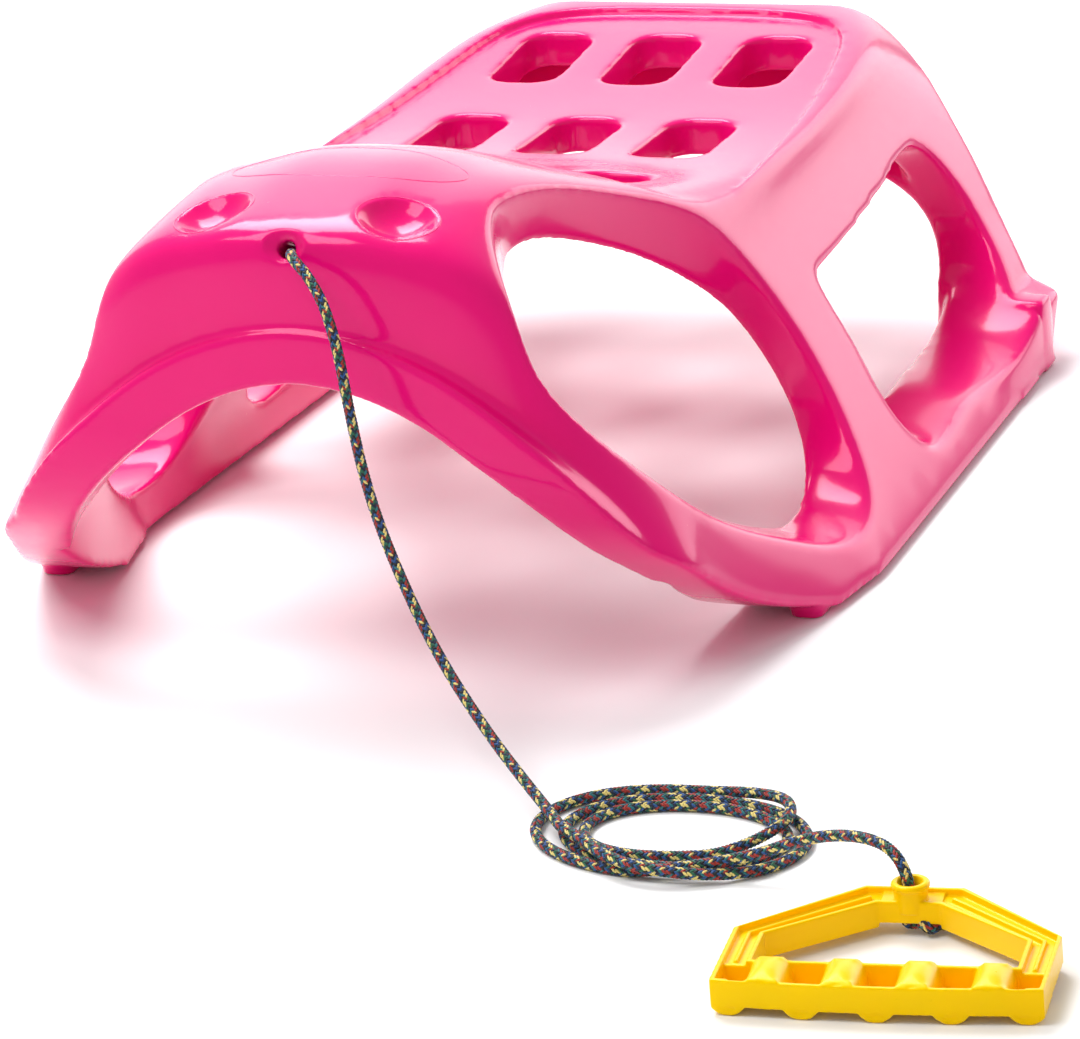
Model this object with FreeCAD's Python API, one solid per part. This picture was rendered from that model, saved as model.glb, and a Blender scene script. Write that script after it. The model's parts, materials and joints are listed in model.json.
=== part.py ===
"""Child's plastic sled: a blow-moulded body on two runners, a pull rope and a handle.

Millimetres. +X is across the sled, -Y points where the sled travels, +Z is up.
The origin is on the ground, under the middle of the body.
"""
import FreeCAD, Part
import math
import os

from FreeCAD import Vector

# Body, overall
LENGTH = 570.0
WIDTH = 428.0
HEIGHT = 238.0
HALF_WIDTH = WIDTH / 2
SIDE_LEAN = 0.63            # inward lean of the side walls, per unit of height
WALL = 24.0                 # double wall of the sides, outer skin to inner skin
SEAT_PLATE = 18.0           # double wall under the seat panel
RUNNER_FRONT_WIDTH = 45.0
RUNNER_REAR_WIDTH = 66.0
RUNNER_HEIGHT = 0.1092      # solid foot of a runner under the inner side wall, share of the height
RIM_BAND = 25.0             # width of the raised band around the front arch
RIM_DEPTH = 40.0            # how far that band reaches back from the nose
CUT = 40.0                  # overrun of every cutting tool

# Wear pads under the ski tips and heels at the tail
PAD_HEIGHT = 3.0            # they stand this far below the runners
PAD_LENGTH = 32.0
PAD_WIDTH = 16.0
PAD_ACROSS = 0.888          # share of the half width
PAD_ALONG = -0.263          # share of the length
HEEL_LENGTH = 18.0
HEEL_WIDTH = 34.0
HEEL_HEIGHT = 38.0
HEEL_PROUD = 1.5            # how far a heel stands behind the foot of the tail
HEEL_INSET = 4.0            # from the outer edge of the runner

# Nose
EYE_DIAMETER = 36.0
EYE_DEPTH = 8.5
EYE_ACROSS = 0.2056         # share of the half width
EYE_ALONG = -0.447          # share of the length
DISH_DIAMETER = 21.0
DISH_DEPTH = 4.5
ROPE_DIAMETER = 5.0
ROPE_HOLE = 9.0

# Seat panel
PANEL_DEPTH = 4.5
PANEL_FADE_START = -0.245   # share of the length where the recess begins to sink
PANEL_FADE = 0.15           # share of the length over which it reaches its depth
PANEL_PROUD = 0.4           # share of its depth by which the floor tool clears the hood
SLOT_LENGTH = 74.0
SLOT_WIDTH = 38.0
SLOT_RADIUS = 14.0
SLOT_DRAFT = 3.5            # each slot wall draws in by this much from top to bottom
SLOT_PITCH_ACROSS = 0.285   # share of the half width
SLOT_PITCH_ALONG = 0.2246   # share of the length
SLOT_FIRST_ALONG = -0.0912  # middle of the front row, share of the length
SLOT_ROWS = 3
SLOT_COLUMNS = 3

# Rope: its hole in the nose, its free stretches and its coil
HOLE_ALONG = -0.493         # share of the length
HOLE_HEIGHT = 0.878         # share of the height
HOLE_TILT = math.radians(30.6)
BORE_LENGTH = 23.5          # from the outer skin of the nose to the knot
BORE_OVERRUN = 3.0          # the rope runs straight this far out of the hole
ARC_REACH = 0.45            # share of the shorter run that a bend may use
STRAIGHT_ENOUGH = 1e-6
LAYER_RISE = 1.12           # height of one layer of rope, in rope diameters
COIL_LENGTH = 118.0
COIL_FLATNESS = 0.745       # its width over its length
EIGHTHS = 8                 # points of the coil in one turn
COIL_ACROSS = 0.9907        # share of the half width
COIL_ALONG = -0.7281        # share of the length
KNOT_TURNS = 3
KNOT_GROOVE = 0.3           # depth of the groove between turns, in rope diameters
NOSE_KNOT_DIAMETER = 14.0
NOSE_KNOT_LENGTH = 15.0

# Pull handle, seen from its bore: the grip lies in front, the neck behind
HANDLE_ACROSS = 1.5654      # share of the half width
HANDLE_ALONG = -0.8491      # share of the length
HANDLE_YAW = 6.5            # degrees
HANDLE_HALF_WIDTH = 65.0
GRIP_FRONT = 81.0
GRIP_BOW = 3.0
SHOULDER = 32.5             # where the sides turn into the arms, in front of the bore
NECK_BACK = 10.0
NECK_HALF_WIDTH = 20.0
GAP_HALF_WIDTH = 52.0       # finger opening
GAP_FRONT = 61.5
GAP_SHOULDER = 37.0
GAP_BACK = 5.5
GAP_NECK_HALF_WIDTH = 12.5
ARM_SLANT = 0.41            # tangent of half the angle between a side and an arm
HANDLE_WALL = 2.0
FLOOR_CLEAR = 3.8           # the walls stand this far above the ground, on the bumps
HANDLE_TOP = 15.0
WEB = 2.2
WEB_BOTTOM = 9.9
RIB = 1.6
RIB_DROP = 0.8              # the ribs stay this far below the walls
GRIP_PITCH = 29.2           # hump to hump
CREST_TOP = 18.0
HUMP_BACK_RISE = 1.5
LEDGE_TOP = 13.4
COLUMN_DIAMETER = 13.6
RIM_DIAMETER = 15.8
RIM_HEIGHT = 3.0
COLLAR_TOP = 22.0
BORE_DIAMETER = 5.8
FUNNEL_DIAMETER = 10.6
FUNNEL_DEPTH = 6.0
BORE_TURN_HEIGHT = 21.5
PASSAGE_TOP = 5.6           # notch under the neck for the end of the rope
FLOOR_GAP = 0.2
HANDLE_KNOT_DIAMETER = 9.6
HANDLE_KNOT_LENGTH = 20.0
HANDLE_KNOT_SHIFT = 1.5
HANDLE_KNOT_BACK = 2.2      # middle of the knot behind the bore

# Stations of the outer skin, front to back. Each leans like a page of a fan.
# Shares: foot place and crown place along the length, crown height, corner place
# across the half width, corner height, softness of the corner, foot place across.
outer_station_shares = (
    (-0.400, -0.488, 0.300, 0.670, 0.290, 0.30, 0.86),
    (-0.330, -0.489, 0.560, 0.545, 0.530, 0.34, 0.92),
    (-0.250, -0.497, 0.820, 0.480, 0.770, 0.34, 0.97),
    (-0.220, -0.495, 0.908, 0.430, 0.852, 0.36, 0.98),
    (-0.190, -0.445, 0.925, 0.400, 0.885, 0.38, 1.00),
    (-0.150, -0.360, 0.955, 0.420, 0.900, 0.38, 1.00),
    (-0.100, -0.270, 0.928, 0.455, 0.845, 0.34, 1.00),
    (-0.040, -0.155, 0.805, 0.520, 0.740, 0.22, 1.00),
    (0.030, -0.030, 0.705, 0.560, 0.680, 0.12, 1.00),
    (0.110, 0.100, 0.660, 0.570, 0.660, 0.08, 1.00),
    (0.200, 0.230, 0.660, 0.565, 0.660, 0.08, 1.00),
    (0.290, 0.360, 0.680, 0.550, 0.680, 0.09, 1.00),
    (0.370, 0.470, 0.705, 0.490, 0.705, 0.16, 1.00),
    (0.440, 0.570, 0.700, 0.340, 0.700, 0.30, 1.00),
)
# Last station of the space under the seat, in front of the tail wall.
tunnel_end_shares = (0.318, 0.452, 0.700, 0.520, 0.700, 0.12, 1.00)

# Mouth of the tunnel, seen from the front: place across, height.
mouth_shares = ((0.0, 0.635), (0.23, 0.575), (0.38, 0.475), (0.50, 0.385), (0.61, 0.270), (0.69, 0.140),
                (0.735, 0.0))
# Arch in the tail wall, seen from behind.
tail_arch_shares = ((0.0, 0.445), (0.30, 0.430), (0.50, 0.395), (0.64, 0.310), (0.70, 0.170), (0.705, 0.0))

# Plan of the seat panel, right half: place along the length, place across.
panel_plan_shares = ((-0.176, 0.0), (-0.176, 0.25), (-0.165, 0.45), (-0.105, 0.535), (-0.020, 0.560),
                     (0.100, 0.540), (0.220, 0.515), (0.330, 0.485), (0.430, 0.450), (0.480, 0.310), (0.480, 0.0))

# Side view of the body: place along the length, height.
ski_tip_shares = ((-0.268, 0.0), (-0.325, 0.045), (-0.390, 0.125), (-0.437, 0.210),
                  (-0.475, 0.300), (-0.496, 0.410), (-0.500, 0.520))
tail_shares = ((0.353, 0.0), (0.395, 0.130), (0.446, 0.320), (0.474, 0.490), (0.494, 0.600), (0.500, 0.680),
               (0.487, 0.725))

# Side openings, as seen from the side: place along the length, height,
# first at the outer skin and then at the inner skin.
front_opening_shares = (
    ((-0.380, 0.915), (-0.330, 0.760)),
    ((-0.289, 0.865), (-0.265, 0.730)),
    ((-0.186, 0.765), (-0.186, 0.645)),
    ((-0.105, 0.615), (-0.110, 0.515)),
    ((-0.075, 0.430), (-0.072, 0.380)),
    ((-0.090, 0.240), (-0.085, 0.210)),
    ((-0.140, 0.110), (-0.140, 0.115)),
    ((-0.215, 0.090), (-0.205, 0.110)),
    ((-0.285, 0.150), (-0.270, 0.165)),
    ((-0.370, 0.260), (-0.345, 0.270)),
    ((-0.445, 0.440), (-0.410, 0.420)),
    ((-0.485, 0.640), (-0.440, 0.580)),
    ((-0.455, 0.830), (-0.410, 0.700)),
)
rear_opening_shares = (
    ((0.035, 0.450), (0.045, 0.430)),
    ((0.105, 0.455), (0.120, 0.445)),
    ((0.200, 0.465), (0.220, 0.455)),
    ((0.300, 0.485), (0.310, 0.475)),
    ((0.370, 0.465), (0.385, 0.440)),
    ((0.385, 0.330), (0.400, 0.320)),
    ((0.335, 0.170), (0.345, 0.160)),
    ((0.250, 0.092), (0.250, 0.100)),
    ((0.100, 0.095), (0.110, 0.105)),
    ((0.005, 0.110), (0.020, 0.120)),
    ((-0.005, 0.190), (0.010, 0.190)),
    ((0.012, 0.330), (0.025, 0.320)),
)


# Corners of the free rope: shares of the half width, the length and the height.
lead_shares = (
    (0.1028, -0.5246, 0.8319), (0.1542, -0.5412, 0.7395), (0.1752, -0.5482, 0.6218),
    (0.2056, -0.5570, 0.4874), (0.2664, -0.5754, 0.3655), (0.3879, -0.6123, 0.2143),
    (0.5327, -0.6570, 0.1113), (0.6449, -0.6930, 0.0567),
)
tail_route_shares = (
    (1.2196, -0.7839, 0.0517), (1.2804, -0.7833, 0.0735), (1.3645, -0.7947, 0.1050),
    (1.4579, -0.8184, 0.1324), (1.5280, -0.8368, 0.1324),
)

# Turns of the coil, an eighth of a turn at a time: reach in half coil lengths, height in layers.
coil_turn_shares = (
    ((0.911, 1.00), (0.753, 1.05), (1.026, 0.88), (1.017, 0.00),
     (0.971, 0.00), (0.896, 0.00), (0.833, 0.00), (0.861, 0.00)),
    ((0.824, 0.00), (0.764, 0.00), (0.737, 0.00), (0.788, 0.00),
     (0.831, 0.00), (0.739, 0.00), (0.676, 0.00), (0.697, 0.00)),
    ((0.674, 0.00), (0.623, 0.00), (0.513, 0.00), (0.539, 0.00),
     (0.726, 0.91), (0.949, 1.08), (1.018, 0.00), (1.092, 0.00)),
    ((1.043, 0.00), (0.930, 0.00), (0.885, 0.00)),
)

# Outline of one turn of a knot: place along it, rise out of the groove.
knot_turn_shares = ((0.0, 0.0), (0.2, 0.75), (0.5, 1.0), (0.8, 0.75))

# Plan of the cut rope end under the neck, in rope diameters from the bore.
cut_end_shares = ((0.3, 0.2), (0.9, -1.1), (2.5, -2.2))


def along(share):
    return share * LENGTH


def height(share):
    return share * HEIGHT


def across(share):
    return share * HALF_WIDTH


def side_wall_x(z):
    """Half width of the outer skin at a height."""
    return HALF_WIDTH - SIDE_LEAN * z


def runner_width(y):
    """Width of the runner's sole, which grows from the ski tip to the heel."""
    share = min(max((y + LENGTH * 0.27) / (LENGTH * 0.63), 0), 1)
    return RUNNER_FRONT_WIDTH + (RUNNER_REAR_WIDTH - RUNNER_FRONT_WIDTH) * share


def open_spline(points):
    curve = Part.BSplineCurve()
    curve.interpolate(points)
    return curve.toShape()


def closed_soft_wire(poles):
    """Closed smooth curve pulled towards its poles."""
    count = len(poles)
    curve = Part.BSplineCurve()
    curve.buildFromPolesMultsKnots(poles, [1] * (count + 1), list(range(count + 1)), True, 3)
    return Part.Wire(curve.toShape())


def closed_spline_wire(points):
    curve = Part.BSplineCurve()
    curve.interpolate(points, PeriodicFlag=True)
    return Part.Wire(curve.toShape())


def cubic_knots(count):
    """Knots and multiplicities of a clamped cubic with this many poles."""
    knots = list(range(count - 2))
    return knots, [4] + [1] * (len(knots) - 2) + [4]


def soft_curve(poles):
    """Smooth cubic curve pulled towards its poles."""
    knots, mults = cubic_knots(len(poles))
    curve = Part.BSplineCurve()
    curve.buildFromPolesMultsKnots(poles, mults, knots, False, 3)
    return curve.toShape()


def net_solid(half_rows):
    """Solid under an arched skin. Each row holds the poles of one station, foot to crown."""
    rows = []
    for half in half_rows:
        left = [Vector(-p.x, p.y, p.z) for p in half[:-1]]
        rows.append(half + left[::-1])
    u_knots, u_mults = cubic_knots(len(rows))
    v_knots, v_mults = cubic_knots(len(rows[0]))
    skin = Part.BSplineSurface()
    skin.buildFromPolesMultsKnots(rows, u_mults, v_mults, u_knots, v_knots, False, False, 3, 3)
    first, last = rows[0], rows[-1]
    front_sole = Part.makeLine(first[0], first[-1])
    back_sole = Part.makeLine(last[0], last[-1])
    right = soft_curve([row[0] for row in rows])
    left = soft_curve([row[-1] for row in rows])
    faces = [
        skin.toShape(),
        Part.Face(Part.Wire([soft_curve(first), front_sole])),
        Part.Face(Part.Wire([soft_curve(last), back_sole])),
        Part.Face(Part.Wire([right, back_sole, left, front_sole])),
    ]
    shell = Part.makeShell(faces)
    shell.sewShape()
    solid = Part.makeSolid(Part.Shell(shell.Faces))
    solid.fix(1e-4, 1e-4, 1e-4)
    if solid.Volume < 0:
        solid.reverse()
    return solid


def outer_half(station, drop=0.0):
    """Poles of one station of the outer skin, right half, foot to crown, lowered by drop."""
    foot_y, crown_y, crown_z, corner_x, corner_z, softness, foot_x = station
    yf, yc, top = along(foot_y), along(crown_y), height(crown_z) - drop
    zc, xc = height(corner_z) - drop, across(corner_x)
    gap = softness * zc

    def pole(x, z):
        return Vector(x, yf + (yc - yf) * z / top, z)

    def side(z):
        return pole(side_wall_x(z) * (foot_x + (1 - foot_x) * max(z, 0) / zc), z)

    return [side(-CUT / 2), side(zc * 0.25), side(zc * 0.5), side(zc - gap), pole(xc, zc),
            pole(xc - min(gap, xc * 0.45), zc + (top - zc) * 0.5), pole(xc * 0.3, top), pole(0, top)]


def outer_skin():
    return net_solid([outer_half(s) for s in outer_station_shares])


def crown_normals(stations):
    """Outward normal of the crown line at each station, in the side view."""
    points = [(along(s[1]), height(s[2])) for s in stations]
    normals = []
    for i in range(len(points)):
        a, b = points[max(i - 1, 0)], points[min(i + 1, len(points) - 1)]
        dy, dz = b[0] - a[0], b[1] - a[1]
        size = math.hypot(dy, dz)
        normals.append((-dz / size, dy / size))
    return normals


def inner_half(station, normal):
    """Poles of the matching station of the inner skin."""
    foot_y, crown_y, crown_z, corner_x, corner_z, softness, foot_x = station
    plate = SEAT_PLATE + PANEL_DEPTH
    yf = along(foot_y) - normal[0] * plate
    yc = along(crown_y) - normal[0] * plate
    top = height(crown_z) - normal[1] * plate
    zc = height(corner_z) - normal[1] * plate
    xc = across(corner_x) - WALL * 0.8
    gap = softness * zc * 0.7
    inset = WALL * math.hypot(1, SIDE_LEAN)
    foot = HALF_WIDTH * foot_x - runner_width(yf)

    def pole(x, z):
        return Vector(x, yf + (yc - yf) * z / top, z)

    def side(z):
        return pole((side_wall_x(z) - inset) * (foot_x + (1 - foot_x) * z / zc), z)

    sole = height(RUNNER_HEIGHT)
    return [pole(foot, -CUT / 2), pole(foot, 0), pole(foot + WALL * 0.2, sole * 0.7), side(sole * 1.8),
            side(zc * 0.6), side(zc - gap), pole(xc, zc), pole(xc - min(gap, xc * 0.45), zc + (top - zc) * 0.5),
            pole(xc * 0.3, top), pole(0, top)]


def tunnel():
    """Space under the seat and inside the hood, down to the ground."""
    stations = outer_station_shares[:-2] + (tunnel_end_shares,)
    return net_solid([inner_half(s, n) for s, n in zip(stations, crown_normals(stations))])


def arch_prism(shares, start, end, grow=0.0):
    """Prism along the sled under an arch that opens to the ground; grow widens it all round."""
    half = [Vector(across(x), start, height(z)) for x, z in shares]
    half.append(Vector(half[-1].x, start, -CUT))
    widened = []
    for i, pole in enumerate(half):
        before = half[i - 1] if i else Vector(-half[1].x, start, half[1].z)
        run = (half[min(i + 1, len(half) - 1)] - before).normalize()
        widened.append(pole + Vector(-run.z, 0, run.x) * grow)
    poles = [Vector(-p.x, p.y, p.z) for p in widened[:0:-1]] + widened
    arch = Part.Wire([soft_curve(poles), Part.makeLine(poles[-1], poles[0])])
    return Part.Face(arch).extrude(Vector(0, end - start, 0))


def mouth():
    """Arch that opens the nose."""
    return arch_prism(mouth_shares, -LENGTH, -LENGTH * 0.4)


def side_profile():
    """Side view of the body as a prism: flat runners, ski tips in front, sloped tail."""
    tip = [Vector(0, along(y), PAD_HEIGHT + height(z)) for y, z in ski_tip_shares]
    tail = [Vector(0, along(y), PAD_HEIGHT + height(z)) for y, z in tail_shares]
    top = HEIGHT + CUT
    corners = [tip[-1], Vector(0, tip[-1].y, top), Vector(0, tail[-1].y, top), tail[-1]]
    wire = Part.Wire([open_spline(tip), Part.makePolygon(corners), open_spline(tail[::-1]),
                      Part.makeLine(tail[0], tip[0])])
    face = Part.Face(wire)
    face.translate(Vector(-WIDTH, 0, 0))
    return face.extrude(Vector(2 * WIDTH, 0, 0))


def opening_tool(shares):
    """Tapered plug for one side opening, right side."""
    outer, inner = [], []
    for (y0, z0), (y1, z1) in shares:
        p = Vector(side_wall_x(height(z0)), along(y0), height(z0))
        q = Vector(side_wall_x(height(z1)) - WALL * math.hypot(1, SIDE_LEAN), along(y1), height(z1))
        outer.append(p + (p - q))
        inner.append(q + (q - p))
    return Part.makeLoft([closed_spline_wire(outer), closed_spline_wire(inner)], True, True)


def mirror(shape):
    return shape.mirror(Vector(0, 0, 0), Vector(1, 0, 0))


def rim_plug():
    """Filled arch at the nose, which becomes the raised band once the mouth is cut through it."""
    return arch_prism(mouth_shares, -LENGTH / 2 - RIM_DEPTH, -LENGTH / 2 + RIM_DEPTH, RIM_BAND)


def rounded_prism(length, width, radius, bottom, top):
    """Upright block with rounded corners, centred on the axis."""
    block = Part.makeBox(width, length, top - bottom, Vector(-width / 2, -length / 2, bottom))
    upright = [e for e in block.Edges if abs(e.tangentAt(e.FirstParameter).z) > 0.5]
    return block.makeFillet(radius, upright)


def front_pad():
    pad = rounded_prism(PAD_LENGTH, PAD_WIDTH, PAD_WIDTH * 0.4, 0, PAD_HEIGHT * 3)
    pad.translate(Vector(across(PAD_ACROSS), along(PAD_ALONG), 0))
    return pad


def heel():
    """Block at the tail end of a runner, which stands on the ground."""
    back = along(tail_shares[0][0]) + HEEL_PROUD
    block = rounded_prism(HEEL_LENGTH, HEEL_WIDTH, HEEL_LENGTH * 0.2, 0, HEEL_HEIGHT)
    block.translate(Vector(HALF_WIDTH - HEEL_INSET - HEEL_WIDTH / 2, back - HEEL_LENGTH / 2, 0))
    return block


def seat_plan():
    """Upright prism over the plan of the seat panel."""
    half = [Vector(across(x), along(y), 0) for y, x in panel_plan_shares]
    poles = half + [Vector(-p.x, p.y, 0) for p in half[-2:0:-1]]
    return Part.Face(closed_soft_wire(poles)).extrude(Vector(0, 0, HEIGHT * 2))


def panel_tool():
    """Shallow recess of the seat panel: it sinks into the seat and fades out on the hood."""
    rows = []
    for station in outer_station_shares:
        share = min(max((station[1] - PANEL_FADE_START) / PANEL_FADE, -PANEL_PROUD), 1)
        rows.append(outer_half(station, PANEL_DEPTH * share))
    return seat_plan().cut(net_solid(rows))


def slot_tool():
    """Tapered plug for one hand and drain slot, around the origin."""
    wires = []
    for z, inset in ((HEIGHT, -SLOT_DRAFT), (0, SLOT_DRAFT * 2)):
        block = rounded_prism(SLOT_LENGTH - 2 * inset, SLOT_WIDTH - 2 * inset, SLOT_RADIUS - inset / 2, 0, WALL)
        floor = [f for f in block.Faces if f.normalAt(0, 0).z < -0.9][0]
        wire = floor.OuterWire
        wire.translate(Vector(0, 0, z))
        wires.append(wire)
    return Part.makeLoft(wires, True, True)


def on_skin(skin, x, y):
    """Point of the skin above a place, and the outward normal there."""
    line = Part.makeLine(Vector(x, y, HEIGHT * 0.7), Vector(x, y, HEIGHT * 2))
    hits = [v.Point for v in line.common(skin).Vertexes]
    point = max(hits, key=lambda p: p.z)
    face = max(skin.Faces, key=lambda f: f.Area)
    normal = face.normalAt(*face.Surface.parameter(point))
    return point, normal if normal.z > 0 else -normal


def dimple(point, normal, diameter, depth):
    """Ball that cuts a round dimple of this rim diameter and depth."""
    radius = (diameter * diameter / 4 + depth * depth) / (2 * depth)
    return Part.makeSphere(radius, point + normal * (radius - depth))


def rope_hole_axis():
    """Mouth of the rope hole on the nose, and the direction out of it."""
    return (Vector(0, along(HOLE_ALONG), height(HOLE_HEIGHT)),
            Vector(0, -math.cos(HOLE_TILT), math.sin(HOLE_TILT)))


def sled_body():
    skin = outer_skin()
    body = skin.fuse(rim_plug()).common(side_profile())
    tail_arch = arch_prism(tail_arch_shares, LENGTH * 0.25, LENGTH)
    body = body.cut(tunnel()).cut(mouth()).cut(tail_arch)
    body = body.fuse([front_pad(), mirror(front_pad()), heel(), mirror(heel())])
    for shares in (front_opening_shares, rear_opening_shares):
        plug = opening_tool(shares)
        body = body.cut(plug).cut(mirror(plug))
    body = body.cut(panel_tool())
    slot = slot_tool()
    for row in range(SLOT_ROWS):
        for column in range(SLOT_COLUMNS):
            plug = slot.copy()
            plug.translate(Vector(across((column - SLOT_COLUMNS // 2) * SLOT_PITCH_ACROSS),
                                  along(SLOT_FIRST_ALONG + row * SLOT_PITCH_ALONG), 0))
            body = body.cut(plug)
    for side in (-1, 1):
        point, normal = on_skin(skin, side * across(EYE_ACROSS), along(EYE_ALONG))
        body = body.cut(dimple(point, normal, EYE_DIAMETER, EYE_DEPTH))
    point, out = rope_hole_axis()
    body = body.cut(dimple(point, out, DISH_DIAMETER, DISH_DEPTH))
    body = body.cut(Part.makeCylinder(ROPE_HOLE / 2, 2 * CUT, point + out * CUT / 2, -out))
    return body.Solids[0]


def tangent_arc_wire(corners):
    """Straight runs through the corners, each pair joined by a tangent arc."""
    edges, start = [], corners[0]
    for i in range(1, len(corners) - 1):
        before, here, after = corners[i - 1], corners[i], corners[i + 1]
        back, ahead = (before - here).normalize(), (after - here).normalize()
        reach = ARC_REACH * min(before.distanceToPoint(here), here.distanceToPoint(after))
        half_turn = (math.pi - back.getAngle(ahead)) / 2
        radius = reach / math.tan(half_turn)
        entry, leave = here + back * reach, here + ahead * reach
        middle = here + (back + ahead).normalize() * (radius / math.cos(half_turn) - radius)
        edges += [Part.LineSegment(start, entry).toShape(), Part.Arc(entry, middle, leave).toShape()]
        start = leave
    edges.append(Part.LineSegment(start, corners[-1]).toShape())
    return Part.Wire(edges)


def through_tangent(before, here, after):
    """Direction of a smooth curve at a point; level where it meets a level stretch."""
    a, b = here - before, after - here
    rise = a.z * b.z
    tangent = a * (b.Length / a.Length) + b * (a.Length / b.Length)
    if rise <= 0:
        tangent.z = 0
    return tangent.normalize()


def arc_from(start, tangent, end):
    """Arc that leaves a point along a tangent and reaches another."""
    chord = end - start
    lean = chord.normalize()
    end_tangent = lean * (2 * tangent.dot(lean)) - tangent
    bow = tangent - end_tangent
    if bow.Length < STRAIGHT_ENOUGH:
        return Part.LineSegment(start, end).toShape(), end_tangent
    length = start.distanceToPoint(end)
    sweep = tangent.getAngle(end_tangent)
    middle = (start + end) / 2 + bow.normalize() * (length / 2 * math.tan(sweep / 4))
    return Part.Arc(start, middle, end).toShape(), end_tangent


def biarc_wire(points, first, last):
    """Smooth chain of two arcs between each pair of points."""
    tangents = [first]
    tangents += [through_tangent(*points[i - 1:i + 2]) for i in range(1, len(points) - 1)]
    tangents.append(last)
    edges = []
    for i in range(len(points) - 1):
        p, q, t0, t1 = points[i], points[i + 1], tangents[i], tangents[i + 1]
        chord, both = q - p, t0 + t1
        spread = 2 * (1 - t0.dot(t1))
        along_both = chord.dot(both)
        if spread < STRAIGHT_ENOUGH:
            reach = chord.dot(chord) / (2 * along_both)
        else:
            reach = (math.sqrt(along_both ** 2 + spread * chord.dot(chord)) - along_both) / spread
        joint = (p + q + (t0 - t1) * reach) / 2
        edge, joint_tangent = arc_from(p, t0, joint)
        edges += [edge, arc_from(joint, joint_tangent, q)[0]]
    return edges


def rope_along(wire, start, direction):
    """Round rope swept along a wire."""
    circle = Part.Wire(Part.Circle(start, direction, ROPE_DIAMETER / 2).toShape())
    return wire.makePipeShell([circle], True, False)


def rope_z(layer):
    """Height of the rope's middle when it lies on this many layers of rope."""
    return ROPE_DIAMETER * (0.52 + layer * LAYER_RISE)


def lead_corners():
    """Route of the rope from the knot in the nose to the coil."""
    mouth_point, out = rope_hole_axis()
    inside = mouth_point - out * BORE_LENGTH
    outside = mouth_point + out * BORE_OVERRUN
    free = [Vector(across(x), along(y), height(z)) for x, y, z in lead_shares]
    return [inside, outside] + free


def bore_point(z):
    return Vector(across(HANDLE_ACROSS), along(HANDLE_ALONG), z)


def tail_corners():
    """Route of the rope from the coil down into the bore of the handle."""
    free = [Vector(across(x), along(y), height(z)) for x, y, z in tail_route_shares]
    return free + [bore_point(BORE_TURN_HEIGHT), bore_point(WEB_BOTTOM)]


def coil_points():
    """Loose turns of the rope on the ground, from the lead to the tail."""
    middle = Vector(across(COIL_ACROSS), along(COIL_ALONG), 0)
    points = []
    for turn, eighths in enumerate(coil_turn_shares):
        for eighth, (share, layer) in enumerate(eighths):
            angle = math.pi + math.tau * (turn + eighth / EIGHTHS)
            reach = share * COIL_LENGTH / 2
            points.append(middle + Vector(reach * math.cos(angle), reach * COIL_FLATNESS * math.sin(angle),
                                          rope_z(layer)))
    return points


def rope_lead():
    corners = lead_corners()
    return rope_along(tangent_arc_wire(corners), corners[0], corners[1] - corners[0])


def rope_tail():
    corners = tail_corners()
    return rope_along(tangent_arc_wire(corners), corners[0], corners[1] - corners[0])


def coil_wire():
    """Path of the coil, which begins and ends in line with the free stretches."""
    lead, tail = lead_corners(), tail_corners()
    first = (lead[-1] - lead[-2]).normalize()
    last = (tail[1] - tail[0]).normalize()
    start, end = lead[-1], tail[0]
    inner_start, inner_end = start + first * ROPE_DIAMETER, end - last * ROPE_DIAMETER
    curve = biarc_wire([inner_start] + coil_points() + [inner_end], first, last)
    return Part.Wire([Part.LineSegment(start, inner_start).toShape()] + curve
                     + [Part.LineSegment(inner_end, end).toShape()])


def rope_coil():
    wire = coil_wire()
    lead = lead_corners()
    return rope_along(wire, lead[-1], lead[-1] - lead[-2])


def least_gap(wire, diameter, near):
    """Smallest air gap of a wound tube to itself, from points along its path."""
    points = wire.discretize(Distance=diameter / 3)
    step = wire.Length / (len(points) - 1)
    skip = int(near / step) + 1
    return min(p.distanceToPoint(q) for i, p in enumerate(points) for q in points[i + skip:]) - diameter


def least_radius(wire):
    """Tightest bend of a path."""
    return min(e.Curve.Radius for e in wire.Edges if hasattr(e.Curve, "Radius"))


def knot_form(diameter, length):
    """Barrel knot: turns of rope side by side around the X axis, as one turned solid."""
    turn = length / KNOT_TURNS
    crown, valley = diameter / 2, diameter / 2 - ROPE_DIAMETER * KNOT_GROOVE
    profile = [Vector(0, 0, 0)]
    for i in range(KNOT_TURNS):
        profile += [Vector((i + share) * turn, 0, valley + (crown - valley) * rise)
                    for share, rise in knot_turn_shares]
    profile += [Vector(length, 0, valley), Vector(length, 0, 0)]
    return Part.Face(Part.makePolygon(profile + profile[:1])).revolve(Vector(0, 0, 0), Vector(1, 0, 0), 360)


def nose_knot():
    """Stopper knot inside the nose, drawn up against the inner wall."""
    mouth_point, out = rope_hole_axis()
    knot = knot_form(NOSE_KNOT_DIAMETER, NOSE_KNOT_LENGTH)
    knot.Placement = FreeCAD.Placement(mouth_point - out * BORE_LENGTH, FreeCAD.Rotation(Vector(1, 0, 0), -out))
    return knot


def placed_handle(shape):
    shape.Placement = FreeCAD.Placement(bore_point(0), FreeCAD.Rotation(Vector(0, 0, 1), HANDLE_YAW))
    return shape


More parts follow.
